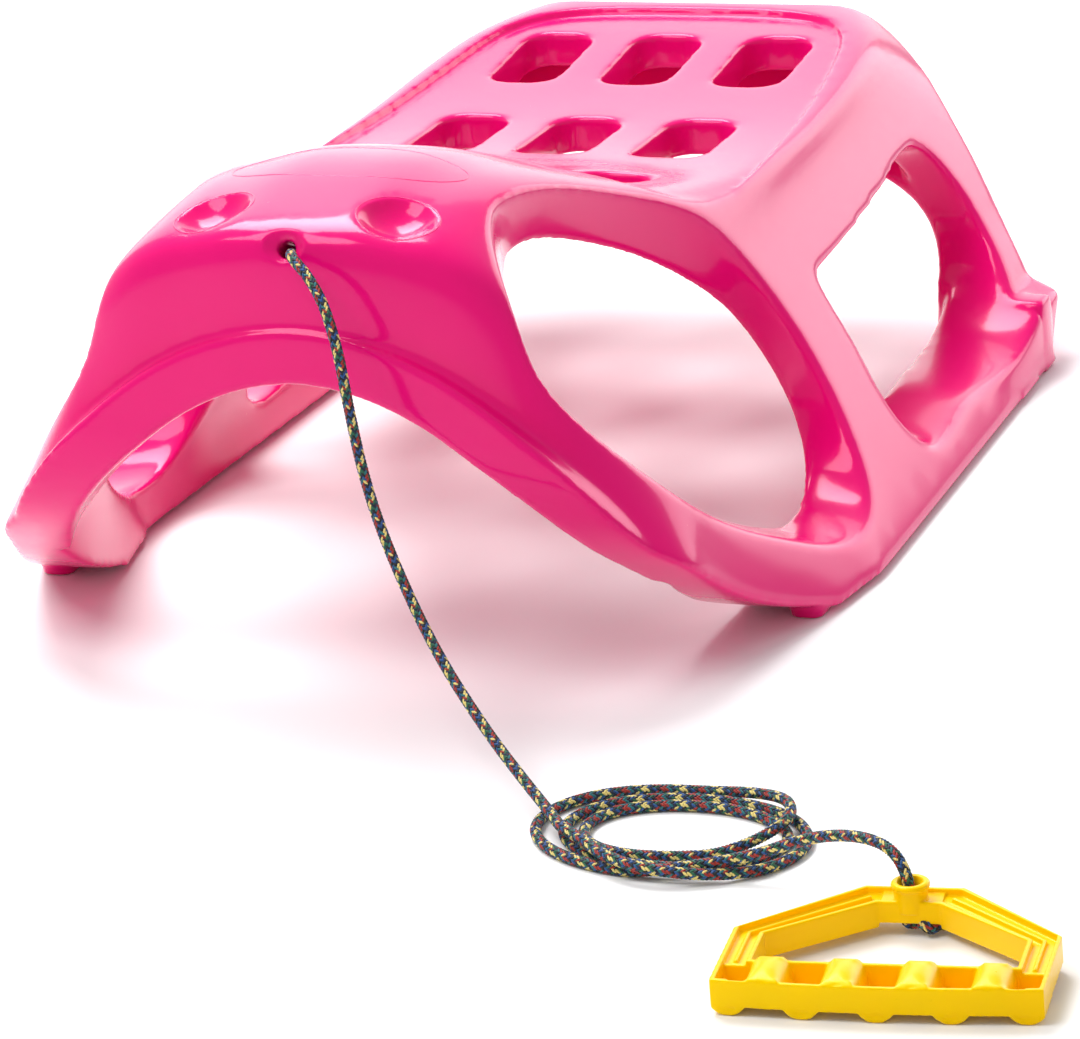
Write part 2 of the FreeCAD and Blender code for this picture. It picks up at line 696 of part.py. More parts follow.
def handle_knot():
    """Knot under the neck of the handle, with the cut end of the rope beside it."""
    knot = knot_form(HANDLE_KNOT_DIAMETER, HANDLE_KNOT_LENGTH)
    knot.translate(Vector(HANDLE_KNOT_SHIFT - HANDLE_KNOT_LENGTH / 2, HANDLE_KNOT_BACK,
                          FLOOR_GAP + HANDLE_KNOT_DIAMETER / 2))
    riser = Part.makeCylinder(ROPE_DIAMETER / 2, WEB_BOTTOM - FLOOR_GAP - HANDLE_KNOT_DIAMETER / 2,
                              Vector(0, 0, FLOOR_GAP + HANDLE_KNOT_DIAMETER / 2))
    low = FLOOR_GAP + ROPE_DIAMETER / 2
    corners = [Vector(across_share * ROPE_DIAMETER, along_share * ROPE_DIAMETER, low)
               for across_share, along_share in cut_end_shares]
    end = rope_along(tangent_arc_wire(corners), corners[0], corners[1] - corners[0])
    return placed_handle(knot.fuse([riser, end]).Solids[0])


def mirrored_outline(points):
    return points + [Vector(-p.x, p.y, p.z) for p in points[::-1]]


def handle_outline(inset):
    """Outer plan of the handle as a wire, moved in by an inset; its grip is bowed."""
    front, back = -GRIP_FRONT + inset, NECK_BACK - inset
    corner = HANDLE_HALF_WIDTH - inset
    slant = inset * ARM_SLANT
    right = [Vector(corner, front, 0), Vector(corner, -SHOULDER + slant, 0), Vector(NECK_HALF_WIDTH - slant, back, 0)]
    path = mirrored_outline(right)
    bow = Part.Arc(path[-1], Vector(0, front - GRIP_BOW, 0), path[0]).toShape()
    return Part.Wire([bow] + [Part.makeLine(path[i], path[i + 1]) for i in range(len(path) - 1)])


def finger_gap_outline(outset):
    """Plan of the opening for the fingers, widened by an outset."""
    side = GAP_HALF_WIDTH + outset
    slant = outset * ARM_SLANT
    right = [Vector(side, -GAP_FRONT - outset, 0), Vector(side, -GAP_SHOULDER + slant, 0),
             Vector(GAP_NECK_HALF_WIDTH + slant, -GAP_BACK + outset, 0)]
    path = mirrored_outline(right)
    return Part.makePolygon(path + path[:1])


def slab(wire, bottom, top):
    face = Part.Face(wire)
    face.translate(Vector(0, 0, bottom))
    return face.extrude(Vector(0, 0, top - bottom))


def wave_edge(offset):
    """One side of the corrugated grip in the front view, left to right."""
    edges, tip = [], None
    for i in range(-4, 5):
        middle = i * GRIP_PITCH / 2
        crest = i % 2
        radius = GRIP_PITCH / 4 + (offset if crest else -offset)
        z = (CREST_TOP - WEB / 2 if crest else WEB / 2) + GRIP_PITCH / 4 * (-1 if crest else 1)
        start, end = Vector(middle - radius, 0, z), Vector(middle + radius, 0, z)
        if tip:
            edges.append(Part.makeLine(tip, start))
        top = Vector(middle, 0, z + (radius if crest else -radius))
        edges.append(Part.Arc(start, top, end).toShape())
        tip = end
    return edges


def grip_wave():
    """Corrugated web of the grip: humps above the walls and bumps below them."""
    upper, lower = wave_edge(WEB / 2), wave_edge(-WEB / 2)
    left = Part.makeLine(upper[0].Vertexes[0].Point, lower[0].Vertexes[0].Point)
    right = Part.makeLine(upper[-1].Vertexes[-1].Point, lower[-1].Vertexes[-1].Point)
    face = Part.Face(Part.Wire(upper + [right] + lower[::-1] + [left]))
    face.translate(Vector(0, -GRIP_FRONT - GRIP_BOW, 0))
    wave = face.extrude(Vector(0, GRIP_FRONT + GRIP_BOW - GAP_FRONT, 0))
    return wave.common(grip_envelope())


def grip_envelope():
    """Rounded side view of the grip, which the humps keep inside."""
    front, back = -GRIP_FRONT - GRIP_BOW, -GAP_FRONT
    crown = Part.Arc(Vector(0, back, HANDLE_TOP + HUMP_BACK_RISE), Vector(0, (front + back) / 2, CREST_TOP),
                     Vector(0, front, HANDLE_TOP)).toShape()
    rest = Part.makePolygon([Vector(0, front, HANDLE_TOP), Vector(0, front, 0), Vector(0, back, 0),
                             Vector(0, back, HANDLE_TOP + HUMP_BACK_RISE)])
    face = Part.Face(Part.Wire([crown, rest]))
    face.translate(Vector(-HANDLE_HALF_WIDTH, 0, 0))
    return face.extrude(Vector(2 * HANDLE_HALF_WIDTH, 0, 0)).common(
        slab(handle_outline(0), 0, CREST_TOP))


def arm_ribs():
    """Low rib along the middle of each arm."""
    half = RIB / 2
    side = (HANDLE_HALF_WIDTH + GAP_HALF_WIDTH) / 2
    shoulder = (SHOULDER + GAP_SHOULDER) / 2
    neck_x = (NECK_HALF_WIDTH + GAP_NECK_HALF_WIDTH) / 2
    neck_y = (NECK_BACK - GAP_BACK) / 2
    slant = half * ARM_SLANT
    path = [Vector(side + half, -GAP_FRONT, 0), Vector(side + half, -shoulder + slant, 0),
            Vector(neck_x + slant, neck_y + half, 0), Vector(neck_x - slant, neck_y - half, 0),
            Vector(side - half, -shoulder - slant, 0), Vector(side - half, -GAP_FRONT, 0)]
    rib = slab(Part.makePolygon(path + path[:1]), WEB_BOTTOM, HANDLE_TOP - RIB_DROP)
    return [rib, mirror(rib)]


def collar():
    """Raised boss with a rolled rim, where the rope enters."""
    column = Part.makeCylinder(COLUMN_DIAMETER / 2, COLLAR_TOP - WEB_BOTTOM, Vector(0, 0, WEB_BOTTOM))
    rim = Part.makeCylinder(RIM_DIAMETER / 2, RIM_HEIGHT, Vector(0, 0, COLLAR_TOP - RIM_HEIGHT))
    rim = rim.makeFillet(RIM_HEIGHT * 0.45, [e for e in rim.Edges if isinstance(e.Curve, Part.Circle)])
    return column.fuse(rim)


def pull_handle():
    """Handle of walls around a web, open to both sides, on five bumps."""
    ring = slab(handle_outline(0), FLOOR_CLEAR, HANDLE_TOP).cut(slab(finger_gap_outline(0), FLOOR_CLEAR, HANDLE_TOP))
    hollow = slab(handle_outline(HANDLE_WALL), 0, CREST_TOP).cut(
        slab(finger_gap_outline(HANDLE_WALL), 0, CREST_TOP))
    web_zone = Part.makeBox(2 * HANDLE_HALF_WIDTH, GRIP_FRONT + NECK_BACK, WEB,
                            Vector(-HANDLE_HALF_WIDTH, -GAP_FRONT - HANDLE_WALL, WEB_BOTTOM))
    ring = ring.cut(hollow.cut(web_zone))
    neck = Part.makeBox(2 * GAP_NECK_HALF_WIDTH, NECK_BACK + GAP_BACK, LEDGE_TOP - WEB_BOTTOM,
                        Vector(-GAP_NECK_HALF_WIDTH, -GAP_BACK, WEB_BOTTOM))
    handle = ring.fuse([grip_wave(), collar(), neck] + arm_ribs())
    passage = Part.makeBox(2 * GAP_NECK_HALF_WIDTH, HANDLE_WALL * 2, PASSAGE_TOP,
                           Vector(-GAP_NECK_HALF_WIDTH, -GAP_BACK - HANDLE_WALL / 2, 0))
    bore = Part.makeCylinder(BORE_DIAMETER / 2, COLLAR_TOP)
    funnel = Part.makeCone(BORE_DIAMETER / 2, FUNNEL_DIAMETER / 2, FUNNEL_DEPTH,
                           Vector(0, 0, COLLAR_TOP - FUNNEL_DEPTH))
    handle = handle.cut([passage, bore, funnel])
    return placed_handle(handle.Solids[0])


def main():
    os.makedirs("parts", exist_ok=True)
    for part in (sled_body, rope_lead, rope_coil, rope_tail, nose_knot, handle_knot, pull_handle):
        shape = part()
        print(part.__name__, "valid", shape.isValid(), "solids", len(shape.Solids), "volume", round(shape.Volume))
        shape.exportStep("parts/%s.step" % part.__name__)
    for corners in (lead_corners(), tail_corners()):
        wire = tangent_arc_wire(corners)
        print("free rope length", round(wire.Length), "tightest bend", round(least_radius(wire), 1))
    wire = coil_wire()
    print("coil length", round(wire.Length), "tightest bend", round(least_radius(wire), 1),
          "least gap", round(least_gap(wire, ROPE_DIAMETER, 4 * ROPE_DIAMETER), 2))


if __name__ == "__main__":
    main()
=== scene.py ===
"""Child's blow-moulded sled with a braided pull rope and a moulded handle, dressed around its CAD frame.

Metres. +X is across the sled, -Y the way it travels, +Z up. The camera stands where the photograph was taken.
"""

import json
import logging
import math
from dataclasses import dataclass
from enum import Enum
from typing import Any, Callable

import bmesh
import bpy
import numpy as np
from mathutils import Matrix, Vector
from mathutils.bvhtree import BVHTree

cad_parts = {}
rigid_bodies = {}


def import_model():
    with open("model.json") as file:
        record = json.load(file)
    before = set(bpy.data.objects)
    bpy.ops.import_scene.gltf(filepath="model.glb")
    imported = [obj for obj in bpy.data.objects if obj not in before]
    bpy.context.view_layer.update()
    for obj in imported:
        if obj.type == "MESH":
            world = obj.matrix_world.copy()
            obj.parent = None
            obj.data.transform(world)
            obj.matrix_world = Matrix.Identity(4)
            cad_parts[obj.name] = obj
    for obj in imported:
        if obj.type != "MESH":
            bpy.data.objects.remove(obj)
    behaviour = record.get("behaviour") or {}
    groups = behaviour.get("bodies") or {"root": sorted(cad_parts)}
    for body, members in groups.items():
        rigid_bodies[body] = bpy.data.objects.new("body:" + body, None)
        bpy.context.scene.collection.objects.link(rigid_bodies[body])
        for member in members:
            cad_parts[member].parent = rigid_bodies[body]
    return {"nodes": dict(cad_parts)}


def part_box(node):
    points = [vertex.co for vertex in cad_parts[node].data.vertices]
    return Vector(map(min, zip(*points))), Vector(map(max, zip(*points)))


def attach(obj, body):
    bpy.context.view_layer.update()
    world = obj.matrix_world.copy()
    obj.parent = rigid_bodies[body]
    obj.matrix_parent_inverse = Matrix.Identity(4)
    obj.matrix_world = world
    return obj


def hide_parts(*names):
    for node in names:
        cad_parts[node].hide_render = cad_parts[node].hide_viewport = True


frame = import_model()

MM = 0.001
LOG = logging.getLogger("sled")
Point = tuple[float, float, float]
Size = tuple[float, float, float]

# Where the rope passes the handle, and how far the handle lies turned, in degrees.
HANDLE_BORE = (0.335, -0.484)
HANDLE_YAW = 6.5


class Slot(Enum):
    """The record's material slots."""

    BODY = "body_pink"
    ROPE = "rope_braid"
    HANDLE = "handle_yellow"


class Yarn(Enum):
    """The dyed yarns of the rope."""

    CREAM = "#EBD680"
    NAVY = "#101D3A"
    BLUE = "#1D4F8C"
    BLACK = "#0D1219"
    RED = "#A32A20"
    TEAL = "#1E7078"
    GREEN = "#1D6247"


def linear(colour: str) -> tuple[float, float, float, float]:
    """Turns an sRGB hex colour into linear light.

    Args:
        colour: Six hex digits after a #.

    Returns:
        Red, green, blue and a full alpha.
    """
    shares = [int(colour[i:i + 2], 16) / 255 for i in (1, 3, 5)]
    red, green, blue = (s / 12.92 if s <= 0.04045 else ((s + 0.055) / 1.055) ** 2.4 for s in shares)
    return red, green, blue, 1.0


def add_node(tree: bpy.types.NodeTree, kind: str, settings: dict[Any, Any] | None = None,
             links: dict[Any, bpy.types.NodeSocket] | None = None) -> bpy.types.Node:
    """Adds a node with its settings and links.

    Args:
        tree: The node tree.
        kind: The node's type name.
        settings: Values by input name or index, or by attribute name.
        links: Sockets that feed the inputs, by input name or index.

    Returns:
        The new node.
    """
    node = tree.nodes.new(kind)
    for key, value in (settings or {}).items():
        if isinstance(key, int) or key in node.inputs:
            node.inputs[key].default_value = value
        else:
            setattr(node, key, value)
    for key, socket in (links or {}).items():
        tree.links.new(socket, node.inputs[key])
    return node


def empty_material(name: str) -> tuple[bpy.types.Material, bpy.types.NodeTree, bpy.types.Node]:
    """Starts a material from its name.

    Args:
        name: What the material is.

    Returns:
        The material, its node tree and its output node.
    """
    material = bpy.data.materials.new(name)
    material.use_nodes = True
    tree = material.node_tree
    tree.nodes.clear()
    return material, tree, add_node(tree, "ShaderNodeOutputMaterial")


@dataclass(frozen=True)
class MouldedPlastic:
    """Glossy moulded plastic: a coloured mass under a smooth skin that took the polish of its mould.

    The pigment is a little uneven over a hand's breadth, the skin has a faint ripple that makes a long
    highlight waver, and fine scuffs change the gloss. Light that enters the mass softens its shaded sides,
    and the polished skin turns pale where it is seen at a low angle.
    """

    name: str
    colour: str
    deep_colour: str
    roughness: float
    ripple_mm: float
    ripple_depth_mm: float
    scuff_mm: float
    clouding_mm: float = 90.0
    glow: float = 0.0
    glow_reach: tuple[float, float, float] = (0.006, 0.002, 0.003)
    coat: float = 0.5
    coat_roughness: float = 0.1
    gloss_shares: tuple[float, float] = (0.85, 1.25)

    def material(self) -> bpy.types.Material:
        """Builds the material."""
        material, tree, output = empty_material(self.name)
        place = add_node(tree, "ShaderNodeTexCoord").outputs["Object"]
        cloud = add_node(tree, "ShaderNodeTexNoise", {"Scale": 1 / (self.clouding_mm * MM), "Detail": 2.0},
                         {"Vector": place})
        pigment = add_node(tree, "ShaderNodeMix", {"data_type": "RGBA", 6: linear(self.deep_colour),
                                                   7: linear(self.colour)}, {0: cloud.outputs["Fac"]})
        scuff = add_node(tree, "ShaderNodeTexNoise", {"Scale": 1 / (self.scuff_mm * MM), "Detail": 4.0,
                                                      "Roughness": 0.65}, {"Vector": place})
        gloss = add_node(tree, "ShaderNodeMapRange", {"From Min": 0.3, "From Max": 0.75,
                                                      "To Min": self.roughness * self.gloss_shares[0],
                                                      "To Max": self.roughness * self.gloss_shares[1]},
                         {"Value": scuff.outputs["Fac"]})
        ripple = add_node(tree, "ShaderNodeTexNoise", {"Scale": 1 / (self.ripple_mm * MM), "Detail": 1.0},
                          {"Vector": place})
        skin = add_node(tree, "ShaderNodeBump", {"Strength": 1.0, "Distance": self.ripple_depth_mm * MM},
                        {"Height": ripple.outputs["Fac"]})
        shader = add_node(tree, "ShaderNodeBsdfPrincipled",
                          {"IOR": 1.5, "Subsurface Weight": self.glow, "Subsurface Radius": self.glow_reach,
                           "Subsurface Scale": 1.0, "Specular Tint": linear(self.colour),
                           "Coat Weight": self.coat, "Coat Roughness": self.coat_roughness},
                          {"Base Color": pigment.outputs[2], "Roughness": gloss.outputs["Result"],
                           "Normal": skin.outputs["Normal"]})
        tree.links.new(shader.outputs["BSDF"], output.inputs["Surface"])
        return material


@dataclass(frozen=True)
class PressedFiller(MouldedPlastic):
    """The rope's filler: yarns pressed into a dull dark mass that shows only between the braid's strands."""

    name: str = "rope_filler"
    colour: str = "#1B2F4C"
    deep_colour: str = "#14243C"
    roughness: float = 0.6
    ripple_mm: float = 4.0
    ripple_depth_mm: float = 0.02
    scuff_mm: float = 1.0


@dataclass(frozen=True)
class BraidedYarn:
    """Braided polypropylene: filament yarns with a silky sheen, each carrier its own colour along the cord.

    Each yarn is a bundle of fine filaments, so its tone breaks up into lighter and darker threads.
    """

    name: str = "braided_polypropylene"
    filament_mm: float = 0.45
    filament_depth_mm: float = 0.15
    thread_shares: tuple[float, float] = (0.62, 1.3)

    def material(self) -> bpy.types.Material:
        """Builds the material, which reads each strand's colour from the mesh."""
        material, tree, output = empty_material(self.name)
        yarn = add_node(tree, "ShaderNodeAttribute", {"attribute_name": "yarn"})
        place = add_node(tree, "ShaderNodeTexCoord").outputs["Object"]
        fibre = add_node(tree, "ShaderNodeTexNoise", {"Scale": 1 / (self.filament_mm * MM), "Detail": 3.0},
                         {"Vector": place})
        shade = add_node(tree, "ShaderNodeMapRange", {"From Min": 0.25, "From Max": 0.75,
                                                      "To Min": self.thread_shares[0],
                                                      "To Max": self.thread_shares[1]},
                         {"Value": fibre.outputs["Fac"]})
        tint = add_node(tree, "ShaderNodeVectorMath", {"operation": "SCALE"},
                        {0: yarn.outputs["Color"], "Scale": shade.outputs["Result"]})
        bump = add_node(tree, "ShaderNodeBump", {"Strength": 0.5, "Distance": self.filament_depth_mm * MM},
                        {"Height": fibre.outputs["Fac"]})
        shader = add_node(tree, "ShaderNodeBsdfPrincipled",
                          {"Roughness": 0.5, "Sheen Weight": 0.1, "Sheen Roughness": 0.4},
                          {"Base Color": tint.outputs["Vector"], "Normal": bump.outputs["Normal"]})
        tree.links.new(shader.outputs["BSDF"], output.inputs["Surface"])
        return material


@dataclass(frozen=True)
class StudioPaper:
    """Seamless matt paper: a plain pale ground that takes soft contact shadows."""

    name: str = "studio_paper"
    colour: str = "#F4F4F5"

    def material(self) -> bpy.types.Material:
        """Builds the material."""
        material, tree, output = empty_material(self.name)
        shader = add_node(tree, "ShaderNodeBsdfPrincipled",
                          {"Base Color": linear(self.colour), "Roughness": 0.9, "Specular IOR Level": 0.1})
        tree.links.new(shader.outputs["BSDF"], output.inputs["Surface"])
        return material


def linked(name: str, data: bpy.types.ID) -> bpy.types.Object:
    """Puts data into the scene as an object at the origin.

    Args:
        name: The object's name.
        data: A mesh, curve, light or camera.

    Returns:
        The object.
    """
    thing = bpy.data.objects.new(name, data)
    bpy.context.scene.collection.objects.link(thing)
    return thing


def baked(thing: bpy.types.Object) -> bpy.types.Object:
    """Applies an object's modifiers, or turns its curve into a mesh.

    Args:
        thing: The object, which is used up.

    Returns:
        An object of the same name with a plain mesh.
    """
    graph = bpy.context.evaluated_depsgraph_get()
    mesh = bpy.data.meshes.new_from_object(thing.evaluated_get(graph))
    name = thing.name
    bpy.data.objects.remove(thing)
    mesh.name = name
    return linked(name, mesh)


def smooth_shaded(thing: bpy.types.Object) -> None:
    """Shades every face of a mesh smoothly.

    Args:
        thing: The object that has the mesh.
    """
    thing.data.polygons.foreach_set("use_smooth", [True] * len(thing.data.polygons))
    thing.data.update()


def above(value: np.ndarray, edge: float, blend: float) -> np.ndarray:
    """Says how far values have risen past an edge.

    Args:
        value: The values.
        edge: Where the share starts to rise from nought.
        blend: Over what distance it rises to one.

    Returns:
        A share for each value.
    """
    return np.clip((value - edge) / blend, 0.0, 1.0)


def below(value: np.ndarray, edge: float, blend: float) -> np.ndarray:
    """Says how far values have fallen below an edge.

    Args:
        value: The values.
        edge: Where the share starts to rise from nought.
        blend: Over what distance it rises to one.

    Returns:
        A share for each value.
    """
    return np.clip((edge - value) / blend, 0.0, 1.0)


def eased(share: np.ndarray) -> np.ndarray:
    """Lets shares start and end gently.

    Args:
        share: Shares from nought to one.

    Returns:
        The shares on an S-shaped curve.
    """
    return share * share * (3 - 2 * share)


def unit(ways: np.ndarray) -> np.ndarray:
    """Brings each direction in a list to a length of one.

    Args:
        ways: The directions, one to a row.

    Returns:
        The unit directions.
    """
    return ways / np.linalg.norm(ways, axis=1)[:, None]


def distances(points: np.ndarray) -> np.ndarray:
    """Measures how far along a path each of its points lies.

    Args:
        points: The path's points, one to a row.

    Returns:
        The distance from the first point to each.
    """
    return np.concatenate([[0], np.cumsum(np.linalg.norm(np.diff(points, axis=0), axis=1))])


@dataclass(frozen=True)
class SkinWork:
    """How a moulded skin is rebuilt.

    It gives the edge of the new skin's cells, the rounds of smoothing, the most triangles, how far a round may
    move a point towards its neighbours, and the distance within which the exact mesh's points are merged.
    """

    grain: float
    rounds: int
    most: int
    evenness: float = 0.5
    weld: float = 0.001 * MM


def rebuilt_skin(name: str, mesh: bpy.types.Mesh, grain: float) -> bpy.types.Object:
    """Rebuilds a mesh from even cells that lie on its exact surface.

    Args:
        name: The piece's name.
        mesh: The exact mesh.
        grain: Edge of the cells.

    Returns:
        The rebuilt piece.
    """
    exact = linked(name + "_exact", mesh)
    rough = linked(name, mesh.copy())
    skin = rough.modifiers.new("skin", "REMESH")
    skin.mode = "VOXEL"
    skin.voxel_size = grain
    snug = rough.modifiers.new("snug", "SHRINKWRAP")
    snug.target = exact
    snug.wrap_method = "NEAREST_SURFACEPOINT"
    rough = baked(rough)
    bpy.data.objects.remove(exact)
    return rough


def lightened(fine: bpy.types.Object, most: int) -> bpy.types.Object:
    """Thins out a fine piece and keeps its shading.

    Args:
        fine: The fine piece, which is used up.
        most: Triangles that the new piece may have.

    Returns:
        The lighter piece.
    """
    light = linked(fine.name, fine.data.copy())
    thin = light.modifiers.new("thin", "DECIMATE")
    thin.ratio = min(1.0, most / (2 * len(fine.data.polygons)))
    light = baked(light)
    smooth_shaded(light)
    sheen = light.modifiers.new("sheen", "DATA_TRANSFER")
    sheen.object = fine
    sheen.use_loop_data = True
    sheen.data_types_loops = {"CUSTOM_NORMAL"}
    sheen.loop_mapping = "POLYINTERP_NEAREST"
    done = baked(light)
    bpy.data.objects.remove(fine)
    return done


def moulded_copy(node: str, name: str, work: SkinWork, softness: Callable[[np.ndarray], np.ndarray],
                 prepare: Callable[[bmesh.types.BMesh], None],
                 flow: Callable[[np.ndarray], np.ndarray] | None = None) -> bpy.types.Object:
    """Copies a CAD node with the soft edges that its mould gives it.

    Args:
        node: The CAD node.
        name: The new piece.
        work: How its skin is rebuilt.
        softness: Gives each point, by its place, how much of the smoothing it takes.
        prepare: Finishes the copy before its edges are softened.
        flow: Moves the points of the rebuilt skin before it is smoothed.

    Returns:
        The new piece.
    """
    build = bmesh.new()
    build.from_mesh(frame["nodes"][node].data)
    bmesh.ops.remove_doubles(build, verts=build.verts, dist=work.weld)
    prepare(build)
    mesh = bpy.data.meshes.new(name)
    build.to_mesh(mesh)
    build.free()
    rough = rebuilt_skin(name, mesh, work.grain)
    places = np.empty(3 * len(rough.data.vertices))
    rough.data.vertices.foreach_get("co", places)
    places = places.reshape(-1, 3)
    if flow:
        places = flow(places)
        rough.data.vertices.foreach_set("co", places.ravel())
        rough.data.update()
    shares = softness(places)
    group = rough.vertex_groups.new(name="soft")
    for share in np.unique(shares):
        group.add(np.flatnonzero(shares == share).tolist(), float(share), "REPLACE")
    soften = rough.modifiers.new("soften", "SMOOTH")
    soften.factor = work.evenness
    soften.iterations = work.rounds
    soften.vertex_group = "soft"
    fine = baked(rough)
    smooth_shaded(fine)
    done = lightened(fine, work.most)
    done.vertex_groups.clear()
    done.name = name
    done.data.name = name
    return done


def surface_of(thing: bpy.types.Object) -> BVHTree:
    """Gives a piece's surface as a tree that rays can be cast on.

    Args:
        thing: The piece.

    Returns:
        The tree.
    """
    build = bmesh.new()
    build.from_mesh(thing.data)
    tree = BVHTree.FromBMesh(build)
    build.free()
    return tree


@dataclass(frozen=True)
class LightPanel:
    """A soft light panel: its place, the point that it faces, its width and length and its power in watts."""

    name: str
    place: Point
    aim: Point
    width: float
    length: float
    power: float

    def hang(self) -> None:
        """Hangs the panel."""
        light = bpy.data.lights.new(self.name, "AREA")
        light.shape = "RECTANGLE"
        light.size = self.width
        light.size_y = self.length
        light.energy = self.power
        way = (Vector(self.place) - Vector(self.aim)).to_track_quat("Z", "Y")
        linked(self.name, light).matrix_world = Matrix.Translation(self.place) @ way.to_matrix().to_4x4()


@dataclass
class StudioView:
    """The camera of the photograph, soft daylight panels and the paper that everything stands on."""

    focal_mm: float = 177.083
    sensor_mm: float = 36.0
    distance: float = 2.64615
    turn: float = 21.78
    lift: float = 19.97
    roll: float = -4.80
    target: Point = (0.0, -0.00589, -0.02035)
    far: float = 50.0
    ground: float = 14.0
    sky: str = "#FFFFFF"
    sky_strength: float = 0.48
    # The key shapes the front, the top panel whitens the nose, the back panels pale the seat and the sides.
    panels: tuple[LightPanel, ...] = (
        LightPanel("key_panel", (-0.62, -0.95, 1.75), (0.0, -0.1, 0.1), 1.0, 0.9, 20.0),
        LightPanel("top_panel", (-0.77, 0.65, 2.1), (0.0, -0.2, 0.2), 1.3, 1.2, 52.0),
        LightPanel("back_left_panel", (-1.1, 2.2, 1.05), (0.0, 0.0, 0.1), 3.2, 2.0, 24.0),
        LightPanel("back_right_panel", (1.25, 2.1, 0.85), (0.1, 0.0, 0.1), 2.0, 1.2, 19.0))

    def camera(self) -> None:
        """Places the camera at the photograph's viewpoint."""
        turn, lift, roll = (math.radians(v) for v in (self.turn, self.lift, self.roll))
        back = Vector((math.sin(turn) * math.cos(lift), -math.cos(turn) * math.cos(lift), math.sin(lift)))
        level = Vector((math.cos(turn), math.sin(turn), 0.0))
        upright = back.cross(level)
        right = level * math.cos(roll) + upright * math.sin(roll)
        up = upright * math.cos(roll) - level * math.sin(roll)
        lens = bpy.data.cameras.new("camera")
        lens.lens = self.focal_mm
        lens.sensor_fit = "HORIZONTAL"
        lens.sensor_width = self.sensor_mm
        lens.clip_end = self.far
        eye = linked("camera", lens)
        turned = Matrix((right, up, back)).transposed().to_4x4()
        eye.matrix_world = Matrix.Translation(Vector(self.target) + back * self.distance) @ turned
        bpy.context.scene.camera = eye

    def build(self) -> None:
        """Builds the camera, the lights and the ground."""
        self.camera()
        for panel in self.panels:
            panel.hang()
        world = bpy.data.worlds.new("studio")
        world.use_nodes = True
        sky = world.node_tree.nodes["Background"]
        sky.inputs["Color"].default_value = linear(self.sky)
        sky.inputs["Strength"].default_value = self.sky_strength
        scene = bpy.context.scene
        scene.world = world
        scene.view_settings.view_transform = "Standard"
        build = bmesh.new()
        bmesh.ops.create_grid(build, x_segments=1, y_segments=1, size=self.ground / 2)
        mesh = bpy.data.meshes.new("studio_ground")
        build.to_mesh(mesh)
        build.free()
        mesh.materials.append(StudioPaper().material())
        linked("studio_ground", mesh)


@dataclass(frozen=True)
class Braid:
    """A twenty-carrier tubular braid: half the strands wind each way, over two and under two.

    The colours of the strands that wind one way come first, then those of the others. A phase says where on
    its way over and under the others a strand starts.
    """

    colours: tuple[Yarn, ...]
    each_way: int = 10
    pitch: float = 17.0 * MM
    radius: float = 1.95 * MM
    wave: float = 0.2 * MM
    half_width: float = 0.62 * MM
    half_thick: float = 0.4 * MM
    step: float = 0.63 * MM
    least_rings: int = 8
    phases: tuple[float, float] = (-0.5, -2.5)

    def strands(self, name: str, points: np.ndarray, normals: np.ndarray, start: float, end: float,
                material: bpy.types.Material) -> bpy.types.Object:
        """Winds the strands around one stretch of a path.

        Args:
            name: The piece's name.
            points: The path's points.
            normals: A normal at each point that turns as little as it can.
            start: Where the stretch begins, along the path.
            end: Where it ends.
            material: The yarn's material.

        Returns:
            The braid as one mesh.
        """
        gone = distances(points)
        count = max(self.least_rings, int(round((end - start) / self.step)))
        s = np.linspace(start, min(end, gone[-1]), count + 1)
        place = np.stack([np.interp(s, gone, points[:, k]) for k in range(3)], axis=1)
        up = np.stack([np.interp(s, gone, normals[:, k]) for k in range(3)], axis=1)
        ahead = unit(np.gradient(place, axis=0))
        up = unit(up - ahead * (up * ahead).sum(axis=1)[:, None])
        side = np.cross(ahead, up)
        verts, faces, tints = [], [], []
        crossing = 2 * self.each_way * s / self.pitch
        rings = len(s)
        for way in (1, -1):
            for i in range(self.each_way):
                angle = 2 * math.pi * i / self.each_way + way * 2 * math.pi * s / self.pitch
                phase = 2 * i + way * crossing + self.phases[0 if way > 0 else 1]
                reach = self.radius + self.wave * np.cos(math.pi / 2 * phase)
                out = up * np.cos(angle)[:, None] + side * np.sin(angle)[:, None]
                middle = place + out * reach[:, None]
                flat = np.cross(unit(np.gradient(middle, axis=0)), out)
                first = len(verts) * 3 * rings
                verts.append(np.stack([middle + flat * self.half_width, middle + out * self.half_thick,
                                       middle - flat * self.half_width], axis=1))
                ring = first + 3 * np.arange(rings - 1)[:, None]
                for k in range(3):
                    n = (k + 1) % 3
                    faces += np.hstack([ring + k, ring + n, ring + 3 + n, ring + 3 + k]).tolist()
                last = first + 3 * (rings - 1)
                faces += [[first + 2, first + 1, first], [last, last + 1, last + 2]]
                colour = linear(self.colours[i if way > 0 else self.each_way + i].value)
                tints.append(np.tile(colour, (3 * rings, 1)))
        mesh = bpy.data.meshes.new(name)
        mesh.from_pydata(np.concatenate(verts).reshape(-1, 3).tolist(), [], faces)
        tint = mesh.color_attributes.new("yarn", "FLOAT_COLOR", "POINT")
        tint.data.foreach_set("color", np.concatenate(tints).ravel())
        mesh.materials.append(material)
        braid = linked(name, mesh)
        smooth_shaded(braid)
        LOG.info("%s: %d faces", name, len(faces))
        return braid


